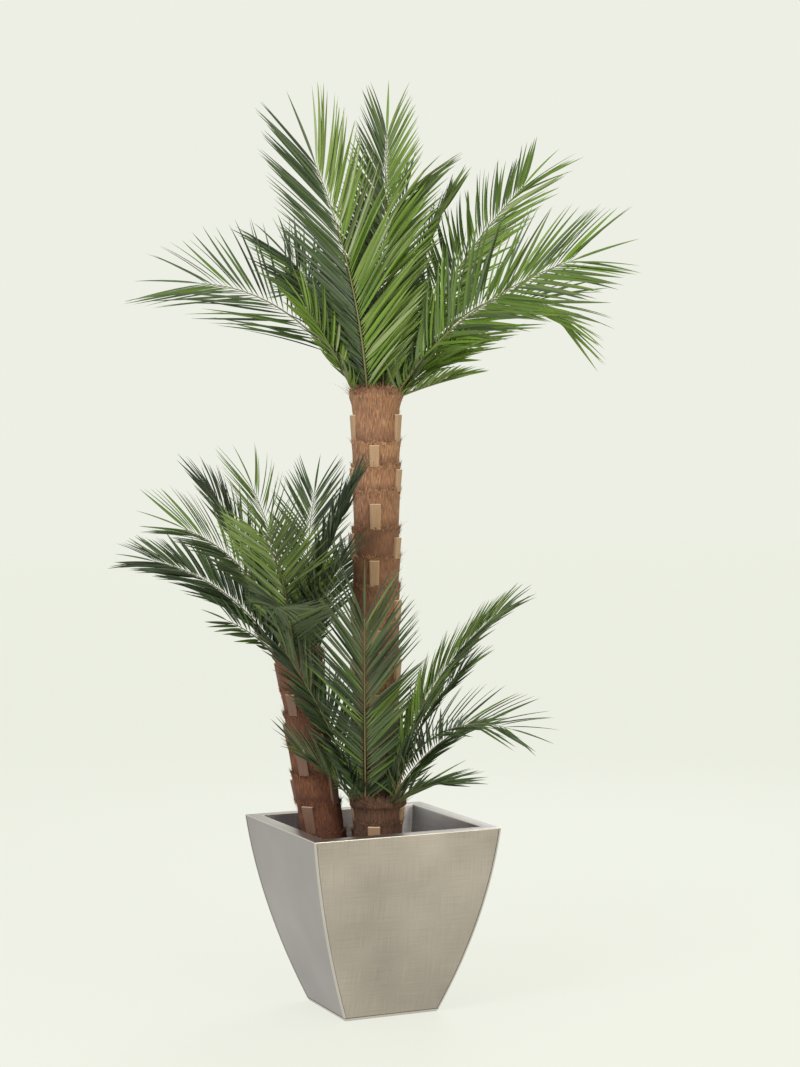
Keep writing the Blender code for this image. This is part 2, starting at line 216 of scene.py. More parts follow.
def make_piece(name, points, face_sets, materials, nodes=(), tones=None, smooth=True):
    """One object at the origin from rows of points and arrays of faces, each array with one corner
    count. It rides on the root, takes the slot's finish and stands for the nodes named."""
    mesh = bpy.data.meshes.new(name)
    mesh.vertices.add(len(points))
    mesh.vertices.foreach_set("co", np.ascontiguousarray(points, np.float32).ravel())
    corners = np.concatenate([faces.ravel() for faces in face_sets])
    sizes = np.concatenate([np.full(len(faces), faces.shape[1]) for faces in face_sets])
    mesh.loops.add(len(corners))
    mesh.loops.foreach_set("vertex_index", corners.astype(np.int32))
    mesh.polygons.add(len(sizes))
    mesh.polygons.foreach_set("loop_start", (np.cumsum(sizes) - sizes).astype(np.int32))
    for material in materials:
        mesh.materials.append(material)
    if tones is not None:
        mesh.polygons.foreach_set("material_index", tones.astype(np.int32))
    mesh.polygons.foreach_set("use_smooth", np.full(len(sizes), smooth))
    mesh.update(calc_edges=True)
    piece = bpy.data.objects.new(name, mesh)
    scene.collection.objects.link(piece)
    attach(piece, "root")
    if nodes:
        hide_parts(*nodes)
    return piece


def set_uv(piece, rows):
    """A UV map named surface, in metres, from one pair for each face corner."""
    layer = piece.data.uv_layers.new(name="surface")
    layer.data.foreach_set("uv", np.ascontiguousarray(rows, np.float32).ravel())


def compass(angles):
    """The level direction at each angle and the one a quarter turn on, as rows of X, Y and Z."""
    cosine, sine, zero = np.cos(angles), np.sin(angles), np.zeros(len(angles))
    return np.stack([cosine, sine, zero], axis=1), np.stack([-sine, cosine, zero], axis=1)


def square_rings(halves, heights, sunk):
    """Level square rings with rounded corners, anticlockwise from the front's left one, a ring for
    each half side and height. A point is its corner's centre plus the fold radius at its angle, then
    moved along the side by its run and sunk behind the seam by its share of the ring's own depth."""
    fold, straight = np.zeros(FOLD_STEPS), np.zeros(len(GROOVE_RUNS))
    turns = np.concatenate([straight, np.linspace(0, np.pi / 2, FOLD_STEPS), straight + np.pi / 2])
    runs = np.tile(np.concatenate([-GROOVE_RUNS[::-1], fold, GROOVE_RUNS]), 4)
    backs = np.tile(np.concatenate([GROOVE_BACKS[::-1], fold, GROOVE_BACKS]), 4)
    quarter = np.repeat(np.arange(4), len(turns))
    signs = np.array(((-1, -1), (1, -1), (1, 1), (-1, 1)))[quarter]
    angles = np.pi + quarter * np.pi / 2 + np.tile(turns, 4)
    normal, tangent = (way[:, :2] for way in compass(angles))
    centre = signs[None] * (halves[:, None, None] - FOLD_RADIUS)
    flat = centre + normal * FOLD_RADIUS + tangent * runs[:, None]
    flat = flat - normal * (backs * sunk[:, None])[:, :, None]
    return np.concatenate([flat, np.broadcast_to(heights[:, None, None], flat.shape[:2] + (1,))], axis=2)


def quarter_fold(half, height, start):
    """The rows of a rounded fold: a quarter circle of the fold radius in the wall's section, from
    the start angle on, round the half side and height of its centre."""
    turns = start + np.linspace(0, np.pi / 2, FOLD_STEPS)
    return half + FOLD_RADIUS * np.cos(turns), height + FOLD_RADIUS * np.sin(turns)


def planter_section():
    """Half sides and heights along the wall's section, from foot and foot strip over the outer wall
    and the two rim folds to the inner wall, and how far the sheet is sunk behind the seams at each."""
    lip = PLANTER_HEIGHT - FOLD_RADIUS
    lip_half = planter_half(lip)
    groove = GROOVE_RUNS[:-1] + FOOT_STRIP_EXTRA
    wall = np.linspace(GROOVE_RUNS[-1] + FOOT_STRIP_EXTRA, lip - RIM_STRIP, WALL_STEPS)
    down = np.linspace(lip - LINING_START, PLANTER_FLOOR, WALL_STEPS)
    runs = (
        (*quarter_fold(planter_half(0) - FOLD_RADIUS, FOLD_RADIUS, -np.pi / 2), 0),
        (planter_half(groove) - GROOVE_BACKS[:-1], groove, 0),
        (planter_half(wall), wall, 1),
        (*quarter_fold(lip_half - FOLD_RADIUS, lip, 0), 0),
        (*quarter_fold(lip_half - PLANTER_WALL + FOLD_RADIUS, lip, np.pi / 2), 0),
        (planter_half(down) - PLANTER_WALL, down, 0),
    )
    rows = [np.stack([half, height, np.full(len(half), share)]) for half, height, share in runs]
    return np.concatenate(rows, axis=1)


def grain(tree, across, along, detail, lean=0.0):
    """A noise drawn out over the surface as threads, veins or brush lines are. Its features to the
    metre are given across and along, and it is turned by the lean."""
    surface = add_node(tree, "ShaderNodeUVMap", uv_map="surface").outputs[0]
    turned = {"Vector": surface, "Rotation": (0, 0, lean), "Scale": (across, along, 1.0)}
    drawn = add_node(tree, "ShaderNodeMapping", turned).outputs[0]
    return add_node(tree, "ShaderNodeTexNoise", {"Vector": drawn, "Scale": 1.0, "Detail": detail}).outputs[0]


def layered(tree, shader, base, layers, height, strength, distance):
    """Colours laid over the base one by one, each as strongly as its factor says, and a height that
    shows as relief."""
    colour = linear(base)
    for factor, code in layers:
        blend = {0: factor, 6: colour, 7: linear(code)}
        colour = add_node(tree, "ShaderNodeMix", blend, data_type="RGBA").outputs[2]
    tree.links.new(colour, shader.inputs["Base Color"])
    bump = add_node(tree, "ShaderNodeBump", {"Height": height, "Strength": strength, "Distance": distance})
    tree.links.new(bump.outputs[0], shader.inputs["Normal"])


def brushed_steel(name, dark, light, roughness, line=0.0022):
    """Stainless sheet rubbed with a fine abrasive in two directions. Two noises drawn out along the
    surface's two directions cross like threads, and a broad cloud varies the tone. The real lines lie
    tenths of a millimetre apart, so they are drawn coarser, at the line's spacing, to show at all."""
    material, tree, shader = new_material(name, light, roughness, 1.0)
    fine, long = 1 / line, 1 / BRUSH_STROKE
    crossing = {0: grain(tree, fine, long, 2.0), 1: grain(tree, long, fine, 2.0)}
    threads = add_node(tree, "ShaderNodeMath", crossing, operation="ADD").outputs[0]
    cloud = {"Value": grain(tree, 3.0, 3.0, 2.0), "From Min": 0.3, "From Max": 0.65}
    blotch = add_node(tree, "ShaderNodeMapRange", cloud).outputs[0]
    hatch, gloss = (
        add_node(
            tree,
            "ShaderNodeMapRange",
            {"Value": threads, "From Min": 1 - span, "From Max": 1 + span, "To Min": low, "To Max": high},
        ).outputs[0]
        for span, low, high in ((0.25, 0.038, 0.342), (0.3, roughness - 0.05, roughness + 0.05))
    )
    tree.links.new(gloss, shader.inputs["Roughness"])
    tone = add_node(tree, "ShaderNodeMath", {0: blotch, 1: 0.6, 2: hatch}, operation="MULTIPLY_ADD")
    layered(tree, shader, dark, [(tone.outputs[0], light)], threads, 0.25, 0.0002)
    return material


half, height, sunk = planter_section()
rings = square_rings(half, height, sunk)
rows, columns = rings.shape[:2]
quads, cells = grid_faces(rows, columns)
points = rings.reshape(-1, 3)
foot_face = np.arange(columns)[None, ::-1]
floor_face = np.arange(columns)[None] + (rows - 1) * columns
run = np.linalg.norm(np.diff(np.stack([half, height], axis=1), axis=0), axis=1)
run = np.concatenate([[0.0], np.cumsum(run)])
# On a face the UV map's first number runs level along the side, and its second along the section.
side_of = np.minimum(cells[:, :1, 0] // (columns // 4), 3)
face_corners = points[quads]
level = np.where(side_of % 2 == 0, face_corners[:, :, 0], face_corners[:, :, 1]) + side_of * SIDE_APART
uv = np.stack([level, run[cells[:, :, 1]]], axis=2).reshape(-1, 2)
flat_uv = points[np.concatenate([foot_face.ravel(), floor_face.ravel()])][:, :2]
# The sheet of the front and back, seams and folds with painted highlight, the inner wall partly lightened by
# painted bounced light, the rim's flat, the sheet of the two other sides with a painted cooler sheen,
# and the groove between sheet and seam with painted shade, in the order of the materials below.
SHEET, FOLD_HIGHLIGHT, BOUNCE_LIT_LINING, RIM, SHEEN_SIDE_SHEET, GROOVE_SHADE = range(6)
position = cells[:, 0, 0] % (columns // 4)
height_row = cells[:, 0, 1]
grooves = len(GROOVE_RUNS)
strip_rows = FOLD_STEPS + grooves - 1
outer_rows = strip_rows + WALL_STEPS
rim_row = outer_rows + FOLD_STEPS - 1
groove_columns = np.arange(grooves - 1)
in_groove = np.isin(position, np.concatenate([groove_columns, groove_columns + FOLD_STEPS + grooves]))
in_groove = np.where(height_row >= strip_rows, in_groove, height_row >= FOLD_STEPS)
on_seam = (position < FOLD_STEPS + 2 * grooves - 1) | (height_row < strip_rows)
tones = np.where(on_seam, FOLD_HIGHLIGHT, np.where(side_of[:, 0] % 2 == 0, SHEET, SHEEN_SIDE_SHEET))
tones[in_groove] = GROOVE_SHADE
tones[height_row >= outer_rows - 1] = FOLD_HIGHLIGHT
tones[height_row == rim_row] = RIM
tones[height_row >= rim_row + FOLD_STEPS] = BOUNCE_LIT_LINING
planter = make_piece(
    "planter_sheet",
    points,
    [quads, foot_face, floor_face],
    [
        brushed_steel("brushed stainless steel sheet", "#968d84", "#c9bfb4", 0.36, 0.0015),
        # Lighter than the sheet: painted highlight on the seams and folds.
        brushed_steel("stainless steel folds with painted highlight", "#bdb8b2", "#d2cdc6", 0.34),
        # Lighter and cooler than the sheet: partly painted light bounced inside the planter.
        brushed_steel("dull galvanised steel lining with painted bounced light", "#98989d", "#d4d4d8", 0.45, 0.006),
        brushed_steel("brushed stainless steel rim", "#a19a98", "#bab3b0", 0.36),
        # Cooler and darker than the front's sheet: painted sheen of the two other sides.
        brushed_steel("brushed stainless steel sheet with painted cool sheen", "#938d90", "#aea7a9", 0.38, 0.0017),
        # Darker and rougher than the sheet: painted shade in the groove.
        new_material("shadowed steel groove", "#948e88", 0.6, 1.0)[0],
    ],
    ["planter"],
    tones=np.concatenate([tones, [SHEET, BOUNCE_LIT_LINING]]),
)
set_uv(planter, np.concatenate([uv, flat_uv]))
planter.data.set_sharp_from_angle(angle=math.radians(30))


# Filling: soil under a layer of dark bark mulch, well below the rim. The chips are flat splinters of
# bark that lie at all angles.
FILL_TOP = 0.364
FILL_CLEAR = 0.0006
FILL_GRID = 60
FILL_LEVELS = 12
SOIL_UNDER_TOP = 0.008
SOIL_WALL_UNDER_TOP = 0.010
CHIP_COUNT = 1300
CHIP_LENGTH = 0.030
CHIP_WIDTH = 0.014
CHIP_THICK = 0.004
CHIP_UNDER_TOP = 0.006
CHIP_HEAP = 0.005
CHIP_ROWS = 3
CHIP_CORNERS = 6


def value_noise(across, along, seed, wrap=64):
    """Smooth random heights from -1 to 1: seeded values at whole numbers, eased between them by
    three t squared less two t cubed. The pattern repeats across after wrap cells."""
    table = np.random.default_rng(seed).uniform(-1, 1, (wrap, 512))
    i, j = np.floor(across).astype(int), np.floor(along).astype(int)
    s, t = across - i, along - j
    s, t = s * s * (3 - 2 * s), t * t * (3 - 2 * t)
    near = table[i % wrap, j % 512] * (1 - t) + table[i % wrap, (j + 1) % 512] * t
    far = table[(i + 1) % wrap, j % 512] * (1 - t) + table[(i + 1) % wrap, (j + 1) % 512] * t
    return near * (1 - s) + far * s


def bark_chip(name, dark, light):
    """Broken conifer bark: matt, and mottled darker and lighter in spots about 11 mm apart."""
    material, tree, shader = new_material(name, dark, 0.9)
    place = add_node(tree, "ShaderNodeTexCoord").outputs["Object"]
    noise = add_node(tree, "ShaderNodeTexNoise", {"Vector": place, "Scale": 90.0, "Detail": 4.0}).outputs[0]
    layered(tree, shader, dark, [(noise, light)], noise, 0.6, 0.002)
    return material


def closed_copies(copies, rows, columns):
    """The sides, and the first and last face, of many shapes of level rings that follow each other."""
    start = np.arange(copies)[:, None, None] * rows * columns
    ends = np.stack([np.arange(columns)[::-1], np.arange(columns) + (rows - 1) * columns])
    shape = (grid_faces(rows, columns)[0], ends)
    return [(faces[None] + start).reshape(-1, faces.shape[1]) for faces in shape]


# The soil's top is a grid that rises and falls by two noises. Its underside is the same grid laid flat
# on the planter's floor and drawn in to the inner wall there, and rings of its edge close the sides.
fill_half = planter_half(FILL_TOP) - PLANTER_WALL - FILL_CLEAR
fill_line = np.linspace(-1, 1, FILL_GRID)
fill_x, fill_y = np.meshgrid(fill_line, fill_line)
mound = value_noise(fill_x * 9 + 20, fill_y * 9 + 20, 3) * 0.004
mound = mound + value_noise(fill_x * 25 + 30, fill_y * 25 + 30, 4) * 0.002
fill_top = np.stack([fill_x * fill_half, fill_y * fill_half, FILL_TOP - SOIL_UNDER_TOP + mound], axis=2)
fill_foot = planter_half(PLANTER_FLOOR) - PLANTER_WALL - FILL_CLEAR
fill_base = np.full_like(fill_x, PLANTER_FLOOR + FILL_CLEAR)
fill_under = np.stack([fill_x * fill_foot, fill_y * fill_foot, fill_base], axis=2)
fill_levels = np.linspace(PLANTER_FLOOR + FILL_CLEAR, FILL_TOP - SOIL_WALL_UNDER_TOP, FILL_LEVELS)
top_quads = grid_faces(FILL_GRID, FILL_GRID, closed=False)[0]
fill_count = FILL_GRID * FILL_GRID
grid = np.arange(fill_count).reshape(FILL_GRID, FILL_GRID)
edge = np.concatenate([grid[0, :-1], grid[:-1, -1], grid[-1, :0:-1], grid[:0:-1, 0]])
edge_unit = fill_top.reshape(-1, 3)[edge][:, :2] / fill_half
wall_half = planter_half(fill_levels[1:-1]) - PLANTER_WALL - FILL_CLEAR
wall_height = np.broadcast_to(fill_levels[1:-1, None, None], (len(wall_half), len(edge), 1))
wall_rings = np.concatenate([edge_unit[None] * wall_half[:, None, None], wall_height], axis=2)
fill_points = np.concatenate([rows.reshape(-1, 3) for rows in (fill_under, fill_top, wall_rings)])
wall_ids = np.arange(len(wall_half) * len(edge)).reshape(len(wall_half), -1) + 2 * fill_count
level_ids = np.concatenate([edge[None], wall_ids, edge[None] + fill_count])
wall_quads = grid_faces(len(level_ids), len(edge))[0]
fill_faces = np.concatenate([top_quads[:, ::-1], top_quads + fill_count, level_ids.ravel()[wall_quads]])
soil = bark_chip("damp soil and bark crumbs", "#2b2018", "#4a382a")
make_piece("fill_soil", fill_points, [fill_faces], [soil], ["fill"])

# A chip is a six-sided flat splinter: an unequal hexagon with a smaller one above and below it.
chips = np.random.default_rng(11)
chip_place = chips.uniform(-1, 1, (CHIP_COUNT, 2)) * (fill_half - CHIP_LENGTH * 0.7)
chip_turn = chips.uniform(0, 2 * np.pi, CHIP_COUNT)
chip_tilt = chips.normal(0, 0.28, (CHIP_COUNT, 2))
chip_size = np.stack([CHIP_LENGTH, CHIP_WIDTH, CHIP_THICK] * chips.uniform(0.45, 1.0, (CHIP_COUNT, 3)))
chip_angle = np.arange(CHIP_CORNERS) * 2 * np.pi / CHIP_CORNERS
hexagon = compass(chip_angle)[0]
chip_shape = np.concatenate([hexagon * 0.75 - (0, 0, 0.5), hexagon, hexagon * 0.8 + (0, 0, 0.5)])
chip_rough = 1 + chips.uniform(-0.25, 0.25, (CHIP_COUNT, len(chip_shape), 1))
chip_local = chip_shape[None] * chip_rough * chip_size[:, None] * (0.5, 0.5, 1.0)
chip_local[:, :, 2] += (chip_local[:, :, :2] * chip_tilt[:, None]).sum(axis=2)
chip_out, chip_side = (way[:, None] for way in compass(chip_turn))
chip_points = chip_local[:, :, :1] * chip_out + chip_local[:, :, 1:2] * chip_side
chip_points[:, :, :2] += chip_place[:, None]
chip_heap = chips.uniform(0, CHIP_HEAP, (CHIP_COUNT, 1))
chip_points[:, :, 2] = chip_local[:, :, 2] + FILL_TOP - CHIP_UNDER_TOP + chip_heap
chip_sides, chip_ends = closed_copies(CHIP_COUNT, CHIP_ROWS, CHIP_CORNERS)
chip_kind = chips.integers(0, 3, CHIP_COUNT)
make_piece(
    "fill_chips",
    chip_points.reshape(-1, 3),
    [chip_sides, chip_ends],
    [
        bark_chip("dark conifer bark", "#2f2119", "#523b2b"),
        bark_chip("red-brown conifer bark", "#4a2f20", "#6d4a33"),
        bark_chip("weathered conifer bark", "#4d4034", "#74624f"),
    ],
    tones=np.concatenate([np.repeat(chip_kind, len(chip_sides) // CHIP_COUNT), np.repeat(chip_kind, 2)]),
    smooth=False,
)


# Stems: a straight core wrapped in mats of coarse brown palm fibre, ring over ring. Each mat is tight
# at its foot and stands off in a ragged edge at its top, and the topmost flares out as a collar.
RING_WAIST = 0.945
MAT_SWELL = 1.4
COLLAR_WAIST = 0.95
COLLAR_FLARE = 1.10
COLLAR_SWELL = 4.5
FOOT_FLARE = 1.12
STEM_COLUMNS = 224
STEM_ROW = 0.0030
STEM_SUNK = 0.012
FIBRE_WIDTH = 0.0032
FIBRE_RELIEF = 0.0007
FIBRE_SLANT = 0.45
MAT_LIP = 0.0026
MAT_LIP_START = 0.80
MAT_RAGGED = 0.005
MAT_LUMPS = 0.0018
MOUND_ROWS = 14
MOUND_HEIGHT = 0.030
# Heights of the mats' edges from the filling up. They were wrapped by hand and lie unevenly.
MAT_EDGES = {
    "tall": (
        FILL_TOP, 0.440, 0.515, 0.592, 0.668, 0.745, 0.825, 0.905,
        0.985, 1.074, 1.146, 1.222, 1.318, 1.382, 1.441, 1.555,
    ),
    "medium": (FILL_TOP, 0.453, 0.529, 0.603, 0.672, 0.755, 0.811, 0.894),
    "short": (FILL_TOP, 0.427, 0.487, 0.527),
}
# Each mat's tone, from 0 for dark old fibre to 1 for light new fibre.
MAT_TONES = {
    "tall": (0.4, 0.5, 0.3, 0.5, 0.4, 0.6, 0.4, 0.55, 0.45, 0.55, 0.3, 0.68, 0.75, 0.78, 0.72),
    "medium": (0.3, 0.5, 0.55, 0.6, 0.45, 0.55, 0.6),
    "short": (0.4, 0.5, 0.6),
}


class Stem(NamedTuple):
    """Foot and tip of the axis in X and Y, height of the tip, and radius at the top of a mat."""

    foot: tuple
    tip: tuple
    top: float
    radius: float


STEMS = {
    "tall": Stem((0.040, 0.061), (0.052, 0.056), 1.555, 0.0615),
    "medium": Stem((-0.102, 0.044), (-0.165, 0.071), 0.894, 0.0575),
    "short": Stem((-0.009, -0.072), (-0.009, -0.072), 0.527, 0.0620),
}
# Dark, middle and light fibre of each stem.
COIR = {
    "tall": ("#5c4031", "#936949", "#c89a6f"),
    "medium": ("#3a241a", "#77482e", "#b2764c"),
    "short": ("#36241a", "#664631", "#8e6a4d"),
}


def palm_fibre(name, dark, middle, light):
    """Coir matting: matt brown threads that run up the stem and cross at slants. Threads are drawn
    by noises stretched along three directions of the surface, and painted shade darkens the hollows.
    They lie about 2 mm apart, which is coarser than real coir and the least that shows."""
    material, tree, shader = new_material(name, middle, 0.95)
    directions = ((540.0, 50.0, 0.15), (480.0, 44.0, 0.75), (480.0, 44.0, -0.8))
    upright, rising, falling = (grain(tree, across, along, 3.0, lean) for across, along, lean in directions)
    crossed = add_node(tree, "ShaderNodeMath", {0: rising, 1: falling}, operation="MAXIMUM").outputs[0]
    matted = add_node(tree, "ShaderNodeMath", {0: upright, 1: crossed}, operation="ADD").outputs[0]
    blotch = {0: grain(tree, 22.0, 22.0, 3.0), 1: 0.7, 2: -0.35}
    patch = add_node(tree, "ShaderNodeMath", blotch, operation="MULTIPLY_ADD").outputs[0]
    mat, hollow_shade = (
        add_node(tree, "ShaderNodeAttribute", attribute_name=each).outputs["Fac"]
        for each in ("mat_tone", "hollow_shade")
    )
    lit = add_node(tree, "ShaderNodeMath", {0: patch, 1: mat}, operation="ADD", use_clamp=True).outputs[0]
    aged, fresh, gap = (
        add_node(
            tree, "ShaderNodeMapRange", {"Value": value, "From Min": start, "From Max": end}
        ).outputs[0]
        for value, start, end in ((lit, 0.0, 0.5), (lit, 0.5, 1.0), (matted, 1.3, 0.82))
    )
    # The last layer is painted shade in the hollows.
    layers = [(aged, middle), (fresh, light), (gap, dark), (hollow_shade, dark)]
    layered(tree, shader, dark, layers, matted, 0.8, 0.0015)
    return material


def axis_at(stem, height):
    """X and Y of a stem's axis at a height: a straight line from the foot to the tip."""
    along = (height - FILL_TOP) / (stem.top - FILL_TOP)
    return [stem.foot[k] + (stem.tip[k] - stem.foot[k]) * along for k in (0, 1)]


def stem_skin(name, stem, seed):
    """The matted surface as rows of points up the stem, and at each the painted shade of its hollows
    and the tone of its mat. The height, moved by a ragged noise, falls between two mat edges, and
    gives the part of that mat run. The radius grows with a power of that part, plus a lip near its
    end, broad lumps and ridged noise for the threads."""
    foot = FILL_TOP - STEM_SUNK
    edges = np.array(MAT_EDGES[name])
    count = len(edges) - 1
    rows = round((stem.top - foot) / STEM_ROW)
    height = np.linspace(foot, stem.top, rows)[:, None]
    turn = np.arange(STEM_COLUMNS)[None] / STEM_COLUMNS
    ragged = value_noise(turn * 40, height / 0.030, seed, 40) * 0.6
    ragged = ragged + value_noise(turn * 110, height / 0.03, seed + 1, 110) * 0.4
    level = height + ragged * MAT_RAGGED
    ring = np.clip(np.searchsorted(edges, level) - 1, 0, count - 1)
    part = np.clip((level - edges[ring]) / (edges[ring + 1] - edges[ring]), 0, 1)
    low = np.select([ring == 0, ring == count - 1], [FOOT_FLARE, COLLAR_WAIST], RING_WAIST)
    high = np.where(ring == count - 1, COLLAR_FLARE, 1.0)
    lip = np.clip((part - MAT_LIP_START) / 0.20, 0, 1) ** 2 * MAT_LIP
    cells = round(2 * np.pi * stem.radius / FIBRE_WIDTH)
    slant = height / FIBRE_WIDTH * FIBRE_SLANT
    straight = value_noise(turn * cells, height / 0.035, seed + 2, cells)
    rising = value_noise(turn * cells + slant, height / 0.030, seed + 3, cells)
    falling = value_noise(turn * cells - slant, height / 0.030, seed + 4, cells)
    threads = 1 - np.minimum(np.abs(straight), np.minimum(np.abs(rising), np.abs(falling))) * 3
    lumps = value_noise(turn * 9, height / 0.04, seed + 5, 9) * MAT_LUMPS
    swell = part ** np.where(ring == count - 1, COLLAR_SWELL, MAT_SWELL)
    radius = stem.radius * (low + (high - low) * swell) + lip + threads * FIBRE_RELIEF + lumps
    angle = 2 * np.pi * turn
    axis_x, axis_y = axis_at(stem, height)
    x = axis_x + radius * np.cos(angle)
    y = axis_y + radius * np.sin(angle)
    # Painted shade: darkest at each mat's foot, under the lip of the mat above, and in the hollows between
    # threads.
    hollow_shade = np.clip(1 - part / 0.30, 0, 1) * 0.6 + np.clip(-threads, 0, 1) * 0.3
    tone = np.array(MAT_TONES[name])[ring]
    points = np.stack([x, y, np.broadcast_to(height, x.shape)], axis=2)
    return points, np.clip(hollow_shade, 0, 1), tone


def capped_grid(points):
    """Quads of a closed grid with a fan to a pole at each end, and the points with the two poles."""
    rows, columns = points.shape[:2]
    quads, cells = grid_faces(rows, columns)
    flat = points.reshape(-1, 3)
    poles = np.stack([points[0].mean(axis=0), points[-1].mean(axis=0)])
    here = np.arange(columns)
    after = (here + 1) % columns
    low, high = rows * columns, rows * columns + 1
    start = (rows - 1) * columns
    under = np.stack([after, here, np.full(columns, low)], axis=1)
    over = np.stack([here + start, after + start, np.full(columns, high)], axis=1)
    return np.concatenate([flat, poles]), quads, np.concatenate([under, over]), cells


def set_values(piece, name, values):
    """One number for each point, which the piece's material reads by name."""
    layer = piece.data.attributes.new(name, "FLOAT", "POINT")
    layer.data.foreach_set("value", values.astype(np.float32))


for number, (name, stem) in enumerate(STEMS.items()):
    skin, hollow_shade, tone = stem_skin(name, stem, 100 + 10 * number)
    # More rows draw in over the top as a ragged mound of fibre, which hides the feet of the fronds.
    centre = np.array([stem.tip[0], stem.tip[1], stem.top])
    share = np.linspace(0.99, 0.12, MOUND_ROWS)[:, None, None]
    brim = centre + (skin[-1] - centre)[None] * share
    turn = np.arange(STEM_COLUMNS)[None] / STEM_COLUMNS
    tufts = value_noise(turn * 19, share[:, :, 0] * 5, 170 + number, 19) * 0.3 + 0.62
    tufts = tufts + value_noise(turn * 74, share[:, :, 0] * 9, 180 + number, 74) * 0.35
    brim[:, :, 2] = stem.top + MOUND_HEIGHT * tufts * np.sin(np.pi * np.sqrt(1.02 - share[:, :, 0] * 0.98))
    skin = np.concatenate([skin, brim])
    # Painted shade in the low parts of the mound, between its tufts.
    hollow_shade = np.concatenate([hollow_shade, np.clip(1.1 - tufts, 0, 1)])
    tone = np.concatenate([tone, np.repeat(tone[-1:], MOUND_ROWS, axis=0)])
    points, quads, fans, cells = capped_grid(skin)
    piece = make_piece(
        f"stem_{name}_mat",
        points,
        [quads, fans],
        [palm_fibre(f"coir matting of the {name} stem", *COIR[name])],
        ["stem_" + name],
    )
    width = 2 * np.pi * stem.radius
    uv = np.stack([cells[:, :, 0] / STEM_COLUMNS * width, skin[cells[:, :, 1], 0, 2]], axis=2).reshape(-1, 2)
    set_uv(piece, np.concatenate([uv, points[fans.ravel()][:, :2]]))
    for layer_name, values in (("hollow_shade", hollow_shade), ("mat_tone", tone)):
        set_values(piece, layer_name, np.concatenate([values.ravel(), [0.5, 0.5]]))


# Cut frond feet: flat tan slabs of old stalk, one on each side of a ring, that stand in the mat's
# lower part and are sawn off square above. The next ring's pair stands about a quarter turn on.
STUB_WIDTH = 0.030
STUB_HEIGHT = 0.060
COLLAR_STUB_HEIGHT = 0.074
STUB_THICK = 0.010
STUB_ROUND = 0.30
STUB_SIDES = 16
STUB_STAND_OFF = 0.002
STUB_SUNK = 0.006
# Where a stub's middle lies at its foot, in stem radii from the axis, and how much further at its top.
STUB_LEAN = (0.92, 0.07)
# A stub's rows as parts of its height, and its width at each as a part of the full one.
STUB_ROWS = np.array([0.0, 0.25, 0.5, 0.75, 0.97, 1.0, 1.0])
STUB_WIDEN = np.array([0.92, 0.94, 0.96, 0.98, 1.0, 0.95, 0.5])
# Headings of the two feet on every even ring, then of those on every odd one.
STUB_HEADINGS = {
    "tall": ((313, 171), (243, 63)),
    "medium": ((300, 140), (220, 41)),
    "short": ((317, 137), (236, 56)),
}
# Veins, stalk and sawn top of each stem's feet.
STALK = {
    "tall": ("#846a4e", "#ad8d6a", "#d6c3a2"),
    "medium": ("#57402f", "#7a5c49", "#c0ab92"),
    "short": ("#80644a", "#a08262", "#e2d3b8"),
}


def stalk_wood(name, dark, light, cut):
    """Dry palm stalk: smooth and tan, with darker veins lengthwise, about 1.5 mm apart, and a paler
    sawn top."""
    material, tree, shader = new_material(name, light, 0.6)
    veins = grain(tree, 700.0, 18.0, 3.0)
    sawn = add_node(tree, "ShaderNodeAttribute", attribute_name="sawn").outputs["Fac"]
    layered(tree, shader, dark, [(veins, light), (sawn, cut)], veins, 0.4, 0.0006)
    return material


